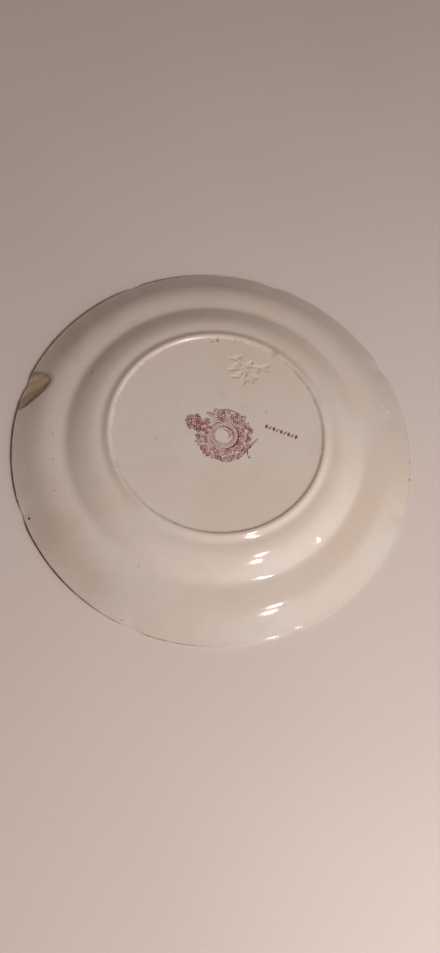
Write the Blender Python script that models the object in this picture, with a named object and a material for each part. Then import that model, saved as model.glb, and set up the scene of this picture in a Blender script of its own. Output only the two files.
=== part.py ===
# A round china plate with an eight-lobed rim, lying face down with its foot ring up.
# Metres, +Z up. The origin is at the plate's centre, on the surface that the rim rests on.

from math import cos, radians, sin

import bmesh
import bpy
from mathutils import Matrix, Vector

MM = 0.001

# Driving dimensions
PLATE_RADIUS = 127.0 * MM        # over the lobes
PLATE_HEIGHT = 23.4 * MM         # from the lip to the crest of the foot ring
BASE_RECESS = 1.1 * MM           # the base panel lies this far below the crest
FOOT_RING_RADIUS = 66.0 * MM     # middle of the crest
WELL_RADIUS = 70.0 * MM          # flat floor of the well, on the face
WELL_DEPTH = 17.4 * MM           # from the lip's face to the well floor
WELL_SAG = 0.15 * MM             # the middle of the well has sunk this much in firing
VERGE_RADIUS = 93.0 * MM         # where cavetto and rim meet
GLAZE = 0.35 * MM                # thickness of each coat of glass
GAP = 0.3 * MM                   # clearance between touching solids
SKIN = GLAZE + GAP               # from a finished surface down to the clay
PRINT = 0.3 * MM                 # thickness of a printed film

# The lobes meet in small notches that aren't quite evenly spaced, as on a hand-finished rim
NOTCH_ANGLES = [41, 85, 130, 177, 217, 261, 305, 352]
NOTCH_DEPTH = 1.2 * MM
NOTCH_HALF_ANGLE = 4.5           # degrees
NOTCH_FADE_RADIUS = 112.0 * MM   # inside this radius the rim is round

# Prints on the base
MARK_CENTRE = (4.0 * MM, -2.2 * MM)
MARK_REACH = 30.0 * MM           # the wreath and its spray end inside this radius of the plate
WREATH_RADII = (10.4 * MM, 17.6 * MM)
WREATH_ARC = (198.0, 500.0)      # degrees, open where the spray sits
MEDALLION_RADII = (5.6 * MM, 9.6 * MM)
SPRAY_ARC = (142.0, 196.0)       # degrees
SPRAY_RADII = (11.0 * MM, 25.0 * MM)
FLOURISH_CENTRE = (37.5 * MM, 9.5 * MM)
FLOURISH_SIZE = (19.0 * MM, 3.2 * MM)
FLOURISH_TURN = -6.4             # degrees

# Prints on the face
BORDER_RADII = (100.0 * MM, 117.0 * MM)
VERGE_LINE_RADII = (94.5 * MM, 96.0 * MM)
CENTRE_PRINT_RADII = (22.0 * MM, 44.0 * MM)

# Finished surfaces, as (radius, height) from the centre to the lip
BASE_HEIGHT = PLATE_HEIGHT - BASE_RECESS
UNDERSIDE = [
    (0.0, BASE_HEIGHT),
    (MARK_REACH, BASE_HEIGHT),
    (FOOT_RING_RADIUS - 2.0 * MM, BASE_HEIGHT),
    (FOOT_RING_RADIUS - 0.7 * MM, PLATE_HEIGHT),
    (FOOT_RING_RADIUS + 0.7 * MM, PLATE_HEIGHT),
    (FOOT_RING_RADIUS + 2.8 * MM, PLATE_HEIGHT - 1.15 * MM),
    (FOOT_RING_RADIUS + 5.2 * MM, PLATE_HEIGHT - 2.1 * MM),
    (FOOT_RING_RADIUS + 8.0 * MM, PLATE_HEIGHT - 2.2 * MM),
    (VERGE_RADIUS - 13.8 * MM, 20.1 * MM),
    (VERGE_RADIUS - 8.4 * MM, 17.6 * MM),
    (VERGE_RADIUS - 1.8 * MM, 13.5 * MM),
    (VERGE_RADIUS + 1.4 * MM, 12.1 * MM),
    (VERGE_RADIUS + 5.5 * MM, 11.7 * MM),
    (VERGE_RADIUS + 12.5 * MM, 10.7 * MM),
    (VERGE_RADIUS + 19.5 * MM, 8.8 * MM),
    (PLATE_RADIUS - 7.5 * MM, 6.0 * MM),
    (PLATE_RADIUS - 2.4 * MM, 4.1 * MM),
]
FACE = [
    (0.0, WELL_DEPTH + WELL_SAG),
    (CENTRE_PRINT_RADII[1] + 2.0 * MM, WELL_DEPTH),
    (WELL_RADIUS, WELL_DEPTH),
    (WELL_RADIUS + 5.0 * MM, 16.9 * MM),
    (WELL_RADIUS + 10.5 * MM, 14.8 * MM),
    (WELL_RADIUS + 16.0 * MM, 11.3 * MM),
    (VERGE_RADIUS - 2.5 * MM, 8.4 * MM),
    (VERGE_RADIUS + 0.5 * MM, 7.4 * MM),
    (VERGE_RADIUS + 6.0 * MM, 6.9 * MM),
    (VERGE_RADIUS + 13.0 * MM, 5.8 * MM),
    (VERGE_RADIUS + 20.0 * MM, 3.9 * MM),
    (PLATE_RADIUS - 6.5 * MM, 1.6 * MM),
]
# The clay lip is rounded. Its face side has a narrow flat, which is what the plate rests on.
LIP = [
    (PLATE_RADIUS - 1.3 * MM, 3.7 * MM),
    (PLATE_RADIUS - 0.2 * MM, 2.7 * MM),
    (PLATE_RADIUS, 1.9 * MM),
    (PLATE_RADIUS - 0.5 * MM, 0.7 * MM),
    (PLATE_RADIUS - 1.6 * MM, 0.0),
    (PLATE_RADIUS - 3.4 * MM, 0.0),
]

# The chip: a shallow shell-shaped flake off the edge of the underside
CHIP_CENTRE = (-122.0 * MM, 3.5 * MM, 6.2 * MM)
CHIP_RADII = (15.5 * MM, 7.8 * MM, 3.4 * MM)
CHIP_TURN = 72.0                 # degrees, of its long axis from +X
CHIP_TILT = -20.0                # degrees, with the slope of the rim

COLOURS = {
    "clay": (0.62, 0.50, 0.36, 1.0),
    "glaze": (0.74, 0.68, 0.56, 1.0),
    "ink": (0.36, 0.12, 0.17, 1.0),
}
ROUGHNESS = {"clay": 0.85, "glaze": 0.12, "ink": 0.3}


def clear_scene():
    for found in list(bpy.data.objects):
        bpy.data.objects.remove(found, do_unlink=True)


def make_material(name, kind):
    """A Principled material in the colour and roughness of its kind."""
    material = bpy.data.materials.new(name)
    material.use_nodes = True
    shader = material.node_tree.nodes["Principled BSDF"]
    shader.inputs["Base Color"].default_value = COLOURS[kind]
    shader.inputs["Roughness"].default_value = ROUGHNESS[kind]
    shader.inputs["Metallic"].default_value = 0.0
    return material


def add_object(name, mesh_data, kind):
    """Put a finished bmesh into the scene under its own name and material."""
    bmesh.ops.recalc_face_normals(mesh_data, faces=mesh_data.faces)
    mesh = bpy.data.meshes.new(name)
    mesh_data.to_mesh(mesh)
    mesh_data.free()
    mesh.materials.append(make_material(name, kind))
    mesh.shade_smooth()
    mesh.set_sharp_from_angle(angle=radians(35))
    thing = bpy.data.objects.new(name, mesh)
    bpy.context.scene.collection.objects.link(thing)
    return thing


def height_at(profile, radius):
    """Height of a finished surface at a radius, straight between the profile's points."""
    for (inner, low), (outer, high) in zip(profile, profile[1:]):
        if radius <= outer:
            return low + (high - low) * (radius - inner) / (outer - inner)
    return profile[-1][1]


def lobe_angles():
    """Angles round the plate, in degrees: close together at each notch, wide apart on the lobes."""
    angles = []
    for here, after in zip(NOTCH_ANGLES, NOTCH_ANGLES[1:] + [NOTCH_ANGLES[0] + 360]):
        angles += [here, here + NOTCH_HALF_ANGLE / 2, here + NOTCH_HALF_ANGLE]
        first, last = here + NOTCH_HALF_ANGLE, after - NOTCH_HALF_ANGLE
        angles += [first + (last - first) * step / 4 for step in (1, 2, 3, 4)]
        angles.append(after - NOTCH_HALF_ANGLE / 2)
    return angles


def lobed_point(radius, height, angle):
    """A point of the plate, drawn in towards the centre where it lies on a notch."""
    off_notch = min(abs((angle - notch + 180) % 360 - 180) for notch in NOTCH_ANGLES)
    bite = NOTCH_DEPTH * max(0.0, 1 - off_notch / NOTCH_HALF_ANGLE)
    fade = max(0.0, (radius - NOTCH_FADE_RADIUS) / (PLATE_RADIUS - NOTCH_FADE_RADIUS))
    reach = radius - bite * fade
    return Vector((reach * cos(radians(angle)), reach * sin(radians(angle)), height))


def turned_solid(outline):
    """A closed solid between two poles, from an outline that starts and ends on the axis."""
    mesh_data = bmesh.new()
    angles = lobe_angles()
    top = mesh_data.verts.new((0.0, 0.0, outline[0][1]))
    bottom = mesh_data.verts.new((0.0, 0.0, outline[-1][1]))
    rings = [[mesh_data.verts.new(lobed_point(radius, height, angle)) for angle in angles]
             for radius, height in outline[1:-1]]
    for index in range(len(angles)):
        after = (index + 1) % len(angles)
        mesh_data.faces.new((top, rings[0][index], rings[0][after]))
        mesh_data.faces.new((bottom, rings[-1][after], rings[-1][index]))
        for upper, lower in zip(rings, rings[1:]):
            mesh_data.faces.new((upper[index], lower[index], lower[after], upper[after]))
    return mesh_data


def film_on_profile(profile, inner, outer, lift, start=0.0, end=360.0, centre=(0.0, 0.0), step=9.0):
    """A thin film over part of a surface, between two radii and two angles, lifted off the surface."""
    count = max(2, round((end - start) / step))
    closed = end - start >= 360.0
    angles = [radians(start + (end - start) * index / count) for index in range(count + (not closed))]
    radii = [inner] + [radius for radius, _ in profile if inner < radius < outer] + [outer]
    near = [(radius, height_at(profile, radius) + lift) for radius in radii]
    far = [(radius, height + PRINT * (1 if lift > 0 else -1)) for radius, height in reversed(near)]
    section = near + far
    mesh_data = bmesh.new()
    columns = [[mesh_data.verts.new((centre[0] + radius * cos(angle), centre[1] + radius * sin(angle), height))
                for radius, height in section] for angle in angles]
    for index in range(count):
        here, after = columns[index], columns[(index + 1) % len(columns)]
        for low in range(len(section)):
            high = (low + 1) % len(section)
            mesh_data.faces.new((here[low], here[high], after[high], after[low]))
    if not closed:
        mesh_data.faces.new(columns[0])
        mesh_data.faces.new(columns[-1])
    return mesh_data


def make_body():
    """The fired clay, one skin inside the finished surfaces, with the rounded lip standing clear of the glaze."""
    upper = [(radius, height - SKIN) for radius, height in UNDERSIDE]
    lower = [(radius, height + SKIN) for radius, height in reversed(FACE)]
    return add_object("earthenware_body", turned_solid(upper + LIP + lower), "clay")


def make_glaze(name, profile, side):
    """A coat of glass on one side: +1 for the underside, which faces up, and -1 for the face."""
    inner = [(radius, height - side * GLAZE) for radius, height in reversed(profile)]
    return add_object(name, turned_solid(profile + inner), "glaze")


def make_chip_cutter():
    """A flattened ball that lies along the edge, tilted with the rim's slope."""
    mesh_data = bmesh.new()
    bmesh.ops.create_uvsphere(mesh_data, u_segments=24, v_segments=12, radius=1.0)
    place = (Matrix.Translation(CHIP_CENTRE) @ Matrix.Rotation(radians(CHIP_TILT), 4, "Y")
             @ Matrix.Rotation(radians(CHIP_TURN), 4, "Z") @ Matrix.Diagonal((*CHIP_RADII, 1.0)))
    bmesh.ops.transform(mesh_data, matrix=place, verts=mesh_data.verts)
    cutter = add_object("chip_cutter", mesh_data, "clay")
    cutter.hide_render = True
    cutter.display_type = "WIRE"
    return cutter


def chip_away(thing, cutter):
    cut = thing.modifiers.new("chip", "BOOLEAN")
    cut.operation = "DIFFERENCE"
    cut.solver = "EXACT"
    cut.object = cutter


def make_flourish():
    """A flat bar with pointed ends, where the small printed row of ornament lies."""
    half_length, half_width = FLOURISH_SIZE[0] / 2, FLOURISH_SIZE[1] / 2
    outline = [(-half_length, 0.0), (-half_length + half_width, -half_width),
               (half_length - half_width, -half_width), (half_length, 0.0),
               (half_length - half_width, half_width), (-half_length + half_width, half_width)]
    mesh_data = bmesh.new()
    low = BASE_HEIGHT + GAP
    floor = mesh_data.faces.new([mesh_data.verts.new((x, y, low)) for x, y in outline])
    raised = bmesh.ops.extrude_face_region(mesh_data, geom=[floor])["geom"]
    bmesh.ops.translate(mesh_data, vec=(0.0, 0.0, PRINT),
                        verts=[item for item in raised if isinstance(item, bmesh.types.BMVert)])
    place = Matrix.Translation((*FLOURISH_CENTRE, 0.0)) @ Matrix.Rotation(radians(FLOURISH_TURN), 4, "Z")
    bmesh.ops.transform(mesh_data, matrix=place, verts=mesh_data.verts)
    return add_object("backstamp_flourish", mesh_data, "ink")


def make_base_prints():
    flat_base = [(0.0, BASE_HEIGHT), (PLATE_RADIUS, BASE_HEIGHT)]
    add_object("backstamp_medallion",
               film_on_profile(flat_base, *MEDALLION_RADII, GAP, centre=MARK_CENTRE, step=15.0), "ink")
    add_object("backstamp_wreath",
               film_on_profile(flat_base, *WREATH_RADII, GAP, *WREATH_ARC, MARK_CENTRE, 15.0), "ink")
    add_object("backstamp_spray",
               film_on_profile(flat_base, *SPRAY_RADII, GAP, *SPRAY_ARC, MARK_CENTRE, 9.0), "ink")
    make_flourish()


def make_face_prints():
    add_object("face_centre_print", film_on_profile(FACE, *CENTRE_PRINT_RADII, -GAP), "ink")
    add_object("face_verge_line", film_on_profile(FACE, *VERGE_LINE_RADII, -GAP), "ink")
    add_object("face_border_print", film_on_profile(FACE, *BORDER_RADII, -GAP), "ink")


def build_plate():
    clear_scene()
    body = make_body()
    underside = make_glaze("glaze_underside", UNDERSIDE, 1)
    make_glaze("glaze_face", FACE, -1)
    cutter = make_chip_cutter()
    chip_away(body, cutter)
    chip_away(underside, cutter)
    make_base_prints()
    make_face_prints()


build_plate()
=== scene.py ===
from math import ceil, cos, radians, sin, tau

import bmesh
import bpy
import numpy as np
from mathutils import Matrix, Vector


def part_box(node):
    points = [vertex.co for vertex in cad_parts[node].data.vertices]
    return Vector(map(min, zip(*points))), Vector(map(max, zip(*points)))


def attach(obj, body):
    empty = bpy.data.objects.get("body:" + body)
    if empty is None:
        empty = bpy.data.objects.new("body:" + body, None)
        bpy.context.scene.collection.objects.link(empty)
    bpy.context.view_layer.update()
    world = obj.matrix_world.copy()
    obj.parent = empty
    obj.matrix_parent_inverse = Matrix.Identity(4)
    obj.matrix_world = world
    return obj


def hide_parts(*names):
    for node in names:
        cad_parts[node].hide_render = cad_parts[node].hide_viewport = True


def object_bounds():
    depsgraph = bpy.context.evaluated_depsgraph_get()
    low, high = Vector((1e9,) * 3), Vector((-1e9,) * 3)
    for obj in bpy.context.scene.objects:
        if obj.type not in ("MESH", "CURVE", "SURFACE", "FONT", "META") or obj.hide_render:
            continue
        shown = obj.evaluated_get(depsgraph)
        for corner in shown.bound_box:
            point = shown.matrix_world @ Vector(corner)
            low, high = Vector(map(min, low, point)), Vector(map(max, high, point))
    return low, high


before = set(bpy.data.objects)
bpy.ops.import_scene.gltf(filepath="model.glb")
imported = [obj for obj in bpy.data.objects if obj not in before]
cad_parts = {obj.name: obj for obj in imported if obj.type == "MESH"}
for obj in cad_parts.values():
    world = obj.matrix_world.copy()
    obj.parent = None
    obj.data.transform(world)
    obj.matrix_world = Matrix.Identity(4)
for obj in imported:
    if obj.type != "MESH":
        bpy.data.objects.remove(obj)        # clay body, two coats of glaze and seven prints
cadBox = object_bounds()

print("china plate: frame loaded")

mm = 0.001
rimRadius = (cadBox[1].x - cadBox[0].x) / 2 / mm - 0.2       # mm, over the lobes
crestHeight = cadBox[1].z / mm - 0.07                        # mm, top of the foot ring


# Nodes, in the shader and geometry trees alike

def setInput(tree, socket, value):
    if isinstance(value, bpy.types.NodeSocket):
        tree.links.new(value, socket)
    else:
        socket.default_value = value


def setInputs(tree, node, inputs):
    for key, value in inputs.items():
        setInput(tree, node.inputs[key], value)


def addNode(tree, kind, inputs=None, **settings):
    made = tree.nodes.new(kind)
    for name, value in settings.items():
        setattr(made, name, value)
    setInputs(tree, made, inputs or {})
    return made


def maths(tree, operation, first, second=0.0, third=0.0):
    return addNode(tree, "ShaderNodeMath", {0: first, 1: second, 2: third}, operation=operation).outputs[0]


def times(tree, first, second):
    return maths(tree, "MULTIPLY", first, second)


def opposite(tree, value):
    return maths(tree, "SUBTRACT", 1.0, value)


def vectorMaths(tree, operation, first, second=(0.0, 0.0, 0.0)):
    made = addNode(tree, "ShaderNodeVectorMath", {0: first, 1: second}, operation=operation)
    return made.outputs["Value" if operation in ("LENGTH", "DISTANCE", "DOT_PRODUCT") else "Vector"]


def identified(tree, made, inputs, output):
    # for nodes that have several sockets of one name
    sockets = {item.identifier: item for item in made.inputs}
    for key, value in inputs.items():
        setInput(tree, sockets[key], value)
    return next(item for item in made.outputs if item.identifier == output)


def blend(tree, amount, under, over):
    made = addNode(tree, "ShaderNodeMix", data_type="RGBA", clamp_factor=True)
    return identified(tree, made, {"Factor_Float": amount, "A_Color": under, "B_Color": over}, "Result_Color")


def ease(tree, value, low, high, start=0.0, end=1.0):            # low..high becomes start..end, smoothly
    return addNode(tree, "ShaderNodeMapRange", {"Value": value, "From Min": low, "From Max": high,
                                                "To Min": start, "To Max": end},
                   interpolation_type="SMOOTHSTEP").outputs["Result"]


def cloudy(tree, vector, scale, detail=3.0, rough=0.55, twist=0.0):
    return addNode(tree, "ShaderNodeTexNoise", {"Vector": vector, "Scale": scale, "Detail": detail,
                                                "Roughness": rough, "Distortion": twist}).outputs["Fac"]


def split(tree, vector):
    return addNode(tree, "ShaderNodeSeparateXYZ", {0: vector}).outputs


def newGroup(name, inputs, outputs):
    group = bpy.data.node_groups.new(name, "ShaderNodeTree")
    for label, kind, value in inputs:
        group.interface.new_socket(label, in_out="INPUT", socket_type="NodeSocket" + kind).default_value = value
    for label, kind in outputs:
        group.interface.new_socket(label, in_out="OUTPUT", socket_type="NodeSocket" + kind)
    return group, group.nodes.new("NodeGroupInput").outputs, group.nodes.new("NodeGroupOutput").inputs


def useGroup(tree, group, inputs):
    return addNode(tree, "ShaderNodeGroup", inputs, node_tree=group).outputs


def srgb(red, green, blue):
    return tuple(((part / 255 + 0.055) / 1.055) ** 2.4 for part in (red, green, blue)) + (1.0,)


def newMaterial(name):
    material = bpy.data.materials.new(name)
    material.use_nodes = True
    tree = material.node_tree
    shader = tree.nodes["Principled BSDF"]
    place = addNode(tree, "ShaderNodeTexCoord").outputs["Object"]
    inMm = addNode(tree, "ShaderNodeMapping", {"Vector": place, "Scale": (1 / mm, 1 / mm, 1 / mm)}).outputs[0]
    return material, tree, shader, inMm


def addBump(tree, shader, strength, distance, height):
    bump = addNode(tree, "ShaderNodeBump", {"Strength": strength, "Distance": distance, "Height": height})
    setInput(tree, shader.inputs["Normal"], bump.outputs[0])


# Effects that several finishes share. Their vectors are in millimetres.

def makeCrazing():                                  # fine crackle in the glass
    group, given, result = newGroup(
        "crazing",
        [("Vector", "Vector", (0.0, 0.0, 0.0)), ("Cell", "Float", 4.0),
         ("Width", "Float", 0.05), ("Cover", "Float", 0.5)],
        [("Lines", "Float")])
    wander = addNode(group, "ShaderNodeTexNoise", {"Vector": given["Vector"], "Scale": 0.35, "Detail": 2.0})
    shift = vectorMaths(group, "SCALE", wander.outputs["Color"])
    shift.node.inputs["Scale"].default_value = 2.2
    bent = vectorMaths(group, "ADD", given["Vector"], shift)
    scale = maths(group, "DIVIDE", 1.0, given["Cell"])
    cells = addNode(group, "ShaderNodeTexVoronoi", {"Vector": bent, "Scale": scale},
                    feature="DISTANCE_TO_EDGE").outputs["Distance"]
    gap = times(group, cells, given["Cell"])
    thin = opposite(group, ease(group, gap, 0.0, given["Width"]))
    patch = ease(group, cloudy(group, given["Vector"], 0.03), opposite(group, given["Cover"]), 1.0)
    setInput(group, result["Lines"], times(group, thin, patch))
    return group


def makeSpot():                                     # one soft-edged stain or speck
    group, given, result = newGroup(
        "spot",
        [("Vector", "Vector", (0.0, 0.0, 0.0)), ("Centre", "Vector", (0.0, 0.0, 0.0)),
         ("Size", "Float", 1.0), ("Softness", "Float", 0.5),
         ("Raggedness", "Float", 0.3)],
        [("Mask", "Float")])
    reach = vectorMaths(group, "DISTANCE", given["Vector"], given["Centre"])
    scaled = maths(group, "DIVIDE", reach, given["Size"])
    grain = maths(group, "DIVIDE", 1.2, given["Size"])
    rag = maths(group, "SUBTRACT", cloudy(group, given["Vector"], grain, 4.0, 0.65), 0.5)
    ragged = maths(group, "MULTIPLY_ADD", rag, times(group, given["Raggedness"], 3.0), scaled)
    inner = opposite(group, given["Softness"])
    setInput(group, result["Mask"], opposite(group, ease(group, ragged, inner, 1.0)))
    return group


def makeMottle():                                   # drifting tone, as on hand-dipped glaze
    group, given, result = newGroup(
        "mottle",
        [("Vector", "Vector", (0.0, 0.0, 0.0)), ("Cool", "Color", (0.6, 0.6, 0.6, 1.0)),
         ("Plain", "Color", (0.7, 0.65, 0.6, 1.0)),
         ("Warm", "Color", (0.7, 0.55, 0.4, 1.0))],
        [("Colour", "Color")])
    broad = cloudy(group, given["Vector"], 0.014, 2.0)
    medium = cloudy(group, given["Vector"], 0.06, 4.0, 0.6, 0.4)
    warmed = blend(group, ease(group, broad, 0.42, 0.72), given["Plain"], given["Warm"])
    setInput(group, result["Colour"], blend(group, ease(group, medium, 0.5, 0.8), warmed, given["Cool"]))
    return group


def makeSector():                                   # one side of the plate, by direction from its middle
    group, given, result = newGroup(
        "sector",
        [("Vector", "Vector", (0.0, 0.0, 0.0)), ("Direction", "Vector", (1.0, 0.0, 0.0)),
         ("Low", "Float", 0.0), ("High", "Float", 0.5)],
        [("Mask", "Float")])
    flat = vectorMaths(group, "NORMALIZE", vectorMaths(group, "MULTIPLY", given["Vector"], (1.0, 1.0, 0.0)))
    facing = vectorMaths(group, "DOT_PRODUCT", flat, given["Direction"])
    setInput(group, result["Mask"], ease(group, facing, given["Low"], given["High"]))
    return group


crazing, spot, mottle, sector = makeCrazing(), makeSpot(), makeMottle(), makeSector()


# The plate's own shape, in millimetres. It lies face down, so the underside is the upper surface.

plate = {
    "baseRecess": 1.1,
    "notches": [41, 85, 130, 177, 217, 261, 305, 352],   # degrees, where two lobes meet
    "notchDepth": 1.25,
    "notchHalfAngle": 5.0,
    "notchFade": 110.0,                                  # the rim is round inside this radius
    "edgeWander": 0.1,
    "surfaceWander": 0.035,
    "glazeThickness": 0.35,
    "lipCentre": (rimRadius - 1.75, 1.2),
    "lipReach": (1.75, 1.18),
    "lipStart": 55.0,                                    # degrees above level, where the underside becomes the lip
    "sprigRoom": 0.6,                                    # thicker glaze, out of sight, under the pressed sprig
    "sprigRoomRadius": 62,
    "clayGap": 0.03,                                     # between the clay and each coat of glaze
    "clayInsets": (1.6, 2.4),                            # from the lip to the clay's upper and lower edge
    "faceInset": 1.82,                                   # from the lip to the edge of the face's glaze
}
baseHeight = crestHeight - plate["baseRecess"]
underside = [                                            # (radius, height)
    (0.0, baseHeight - 0.1), (40.0, baseHeight), (64.0, baseHeight), (65.2, crestHeight), (66.8, crestHeight),
    (68.0, 22.6), (69.3, 21.9), (70.4, 21.45), (71.4, 21.28), (73.2, 21.27), (75.0, 21.1), (77.5, 20.6),
    (80.0, 19.7), (82.5, 18.6), (85.0, 17.3), (87.5, 15.75), (90.0, 14.0), (92.0, 12.76), (93.3, 12.32),
    (95.0, 12.15), (97.5, 12.05), (100.0, 11.92), (103.0, 11.6), (106.0, 11.1), (108.0, 10.58), (110.0, 9.93),
    (112.0, 9.12), (114.0, 8.15), (116.0, 7.11), (118.0, 6.06), (120.0, 5.0), (122.0, 3.95), (124.0, 2.95),
    (rimRadius - 0.85, 2.15),
]
face = [
    (0.0, 17.55), (46.0, 17.4), (70.0, 17.4), (73.0, 17.25), (76.0, 16.6), (80.5, 14.7), (86.0, 11.3), (89.5, 8.9),
    (91.5, 7.8), (93.5, 7.35), (99.0, 6.95), (106.0, 5.8), (113.0, 3.9), (118.0, 2.3), (121.5, 0.95),
    (rimRadius - 1.8, 0.03),
]
undersideSoftness = [(0, 1.5), (62, 0.5), (64, 0.35), (70, 0.5), (74, 1.2), (90, 1.0), (97, 1.4), (120, 1.2),
                     (127, 0.6)]
faceSoftness = [(0, 2.0), (70, 1.5), (88, 1.3), (93, 0.8), (100, 2.0), (122, 1.0), (127, 0.3)]


def turnedCurve(points, softness):
    # a smooth height over radius through the listed points, softened by so many mm at each radius
    radii, heights = np.array(points).T
    slope = (heights[-1] - heights[-2]) / (radii[-1] - radii[-2])
    radii, heights = np.append(radii, radii[-1] + 10), np.append(heights, heights[-1] + 10 * slope)
    fine = np.arange(-10.0, radii[-1], 0.1)
    straight = np.interp(np.abs(fine), radii, heights)
    spread = np.interp(np.abs(fine), *np.array(softness, float).T)
    weight = np.exp(-0.5 * ((fine[:, None] - fine[None, :]) / spread[:, None]) ** 2)
    smooth = weight @ straight / weight.sum(1)
    return lambda radius: np.interp(radius, fine, smooth)


undersideAt = turnedCurve(underside, undersideSoftness)
faceAt = turnedCurve(face, faceSoftness)


def stations(start, end, spacing):
    # places from start to end, as close together as the (place, spacing) pairs ask
    fine = np.linspace(start, end, 6000)
    density = 1 / np.interp(fine, *np.array(spacing, float).T)
    total = np.concatenate([[0.0], np.cumsum((density[1:] + density[:-1]) / 2 * np.diff(fine))])
    return np.interp(np.linspace(0, total[-1], ceil(total[-1]) + 1), total, fine)


def angleGap(angles, centre):
    return np.abs((angles - centre + 180) % 360 - 180)


def edgeBite(angles):
    # how far the lip is drawn in at each angle: the notches, and a slight unevenness all round
    gap = np.min([angleGap(angles, notch) for notch in plate["notches"]], axis=0)
    bite = plate["notchDepth"] * np.clip(1 - gap / plate["notchHalfAngle"], 0, 1) ** 1.6
    turn = np.radians(angles)
    wander = sum(np.sin(turn * waves + phase) for waves, phase in ((9, 0.4), (14, 2.1), (23, 4.0), (37, 1.3)))
    return bite + plate["edgeWander"] * (1 + wander / 4)


def drawnIn(radii, angles):
    # the notches start inside the rim and deepen towards the lip
    fade = np.clip((radii - plate["notchFade"]) / (rimRadius - plate["notchFade"]), 0, 1)
    return edgeBite(angles) * fade * fade * (3 - 2 * fade)


def lipArc(first, last, count, inset=0.0):
    turns = np.radians(np.linspace(first, last, count))
    return [(plate["lipCentre"][0] + (plate["lipReach"][0] - inset) * cos(turn),
             plate["lipCentre"][1] + (plate["lipReach"][1] - inset) * sin(turn)) for turn in turns]


def placed(name, data):
    made = bpy.data.objects.new(name, data)
    bpy.context.scene.collection.objects.link(made)
    return made


def built(name, build):
    # a mesh from what bmesh has made
    mesh = bpy.data.meshes.new(name)
    build.to_mesh(mesh)
    build.free()
    return mesh


def turnedMesh(name, rings, angles, relief=None):
    # a closed solid through rings of (radius, height), from the upper pole out to the lip and back to the lower
    # pole; relief takes x, y and the ring's number, and gives a change of height
    radii, heights = np.array(rings[1:-1]).T
    reach = radii[:, None] - drawnIn(radii[:, None], angles[None, :])
    x, y = reach * np.cos(np.radians(angles)), reach * np.sin(np.radians(angles))
    z = np.repeat(heights[:, None], len(angles), 1)
    if relief:
        z = z + relief(x, y, np.arange(len(radii))[:, None])
    poles = [(0.0, 0.0, rings[0][1]), (0.0, 0.0, rings[-1][1])]
    points = np.vstack([np.stack([x, y, z], -1).reshape(-1, 3), poles]) * mm
    count = len(angles)
    upper = np.arange((len(radii) - 1) * count).reshape(-1, count)
    corners = [upper, upper + count, np.roll(upper + count, -1, 1), np.roll(upper, -1, 1)]
    quads = np.stack(corners, -1).reshape(-1, 4)
    top, bottom, last = len(points) - 2, len(points) - 1, (len(radii) - 1) * count
    fans = [(top, index, (index + 1) % count) for index in range(count)]
    fans += [(bottom, last + (index + 1) % count, last + index) for index in range(count)]
    mesh = bpy.data.meshes.new(name)
    mesh.from_pydata(points.tolist(), [], quads.tolist() + fans)
    mesh.shade_smooth()
    return placed(name, mesh)


def plainMesh(thing):
    # the evaluated shape becomes the object's own mesh, and its modifiers go
    seen = thing.evaluated_get(bpy.context.evaluated_depsgraph_get())
    mesh = bpy.data.meshes.new_from_object(seen)
    thing.modifiers.clear()
    thing.data = mesh
    mesh.name = thing.name
    return thing


# Pressed sprig: a blind mark pushed into the soft clay beside the printed one

sprig = {
    "centre": (6.6, 46.3),
    "turn": -10.0,
    "depth": 0.55,
    "width": 0.7,
    "stems": [[(-12, 2.5), (-9, 3), (-5.5, 2.6), (-2, 1.3), (1.5, -0.8), (5, -3.6), (8, -6.8)],
              [(-9, -5.5), (-6.5, -4.2), (-3, -1.6), (1, 1.6), (5, 3.8), (9, 4.6), (13.5, 4.2)],
              [(-5.5, -9.5), (-2.5, -7.6), (1.0, -6.6), (5.0, -7.2)]],
    "leafLength": 4.4,
    "leafWidth": 1.5,
    "leafTurn": 50.0,
}


def strokeDepth(x, y, points):
    # 1 on a broken line, falling away to either side over the stroke's width
    best = np.full(x.shape, 1e9)
    for (ax, ay), (bx, by) in zip(points, points[1:]):
        along = np.clip(((x - ax) * (bx - ax) + (y - ay) * (by - ay)) / ((bx - ax) ** 2 + (by - ay) ** 2), 0, 1)
        best = np.minimum(best, np.hypot(x - ax - along * (bx - ax), y - ay - along * (by - ay)))
    return np.exp(-(best / sprig["width"]) ** 2)


def sprigStrokes():
    # curved stems, with small open leaves on alternate sides
    strokes = []
    for stem in sprig["stems"]:
        strokes.append(stem)
        for number, ((ax, ay), (bx, by)) in enumerate(zip(stem[1:], stem[2:])):
            turn = np.arctan2(by - ay, bx - ax) + (-1) ** number * radians(sprig["leafTurn"])
            for side in (-1, 1):
                edge = [(share * sprig["leafLength"], side * sprig["leafWidth"] * sin(np.pi * share ** 0.8) / 2)
                        for share in (0.0, 0.25, 0.5, 0.75, 1.0)]
                strokes.append([(ax + x * cos(turn) - y * sin(turn), ay + x * sin(turn) + y * cos(turn))
                                for x, y in edge])
    return strokes


def pressedSprig(x, y):
    turn = radians(sprig["turn"])
    awayX, awayY = x - sprig["centre"][0], y - sprig["centre"][1]
    localX, localY = awayX * cos(turn) + awayY * sin(turn), awayY * cos(turn) - awayX * sin(turn)
    depth = np.zeros(x.shape)
    for stroke in sprigStrokes():
        depth = np.maximum(depth, strokeDepth(localX, localY, stroke))
    return sprig["depth"] * depth


def surfaceWander(x, y):
    # long shallow waves left by the mould and the glaze, which break up the reflections
    waves = ((31, 12, 0.3), (-17, 26, 1.9), (9, -21, 4.2), (45, 38, 2.7))
    total = sum(np.sin(x / across + y / along + phase) for across, along, phase in waves)
    return plate["surfaceWander"] * (total / len(waves) - 1)


# Glaze and clay

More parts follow.
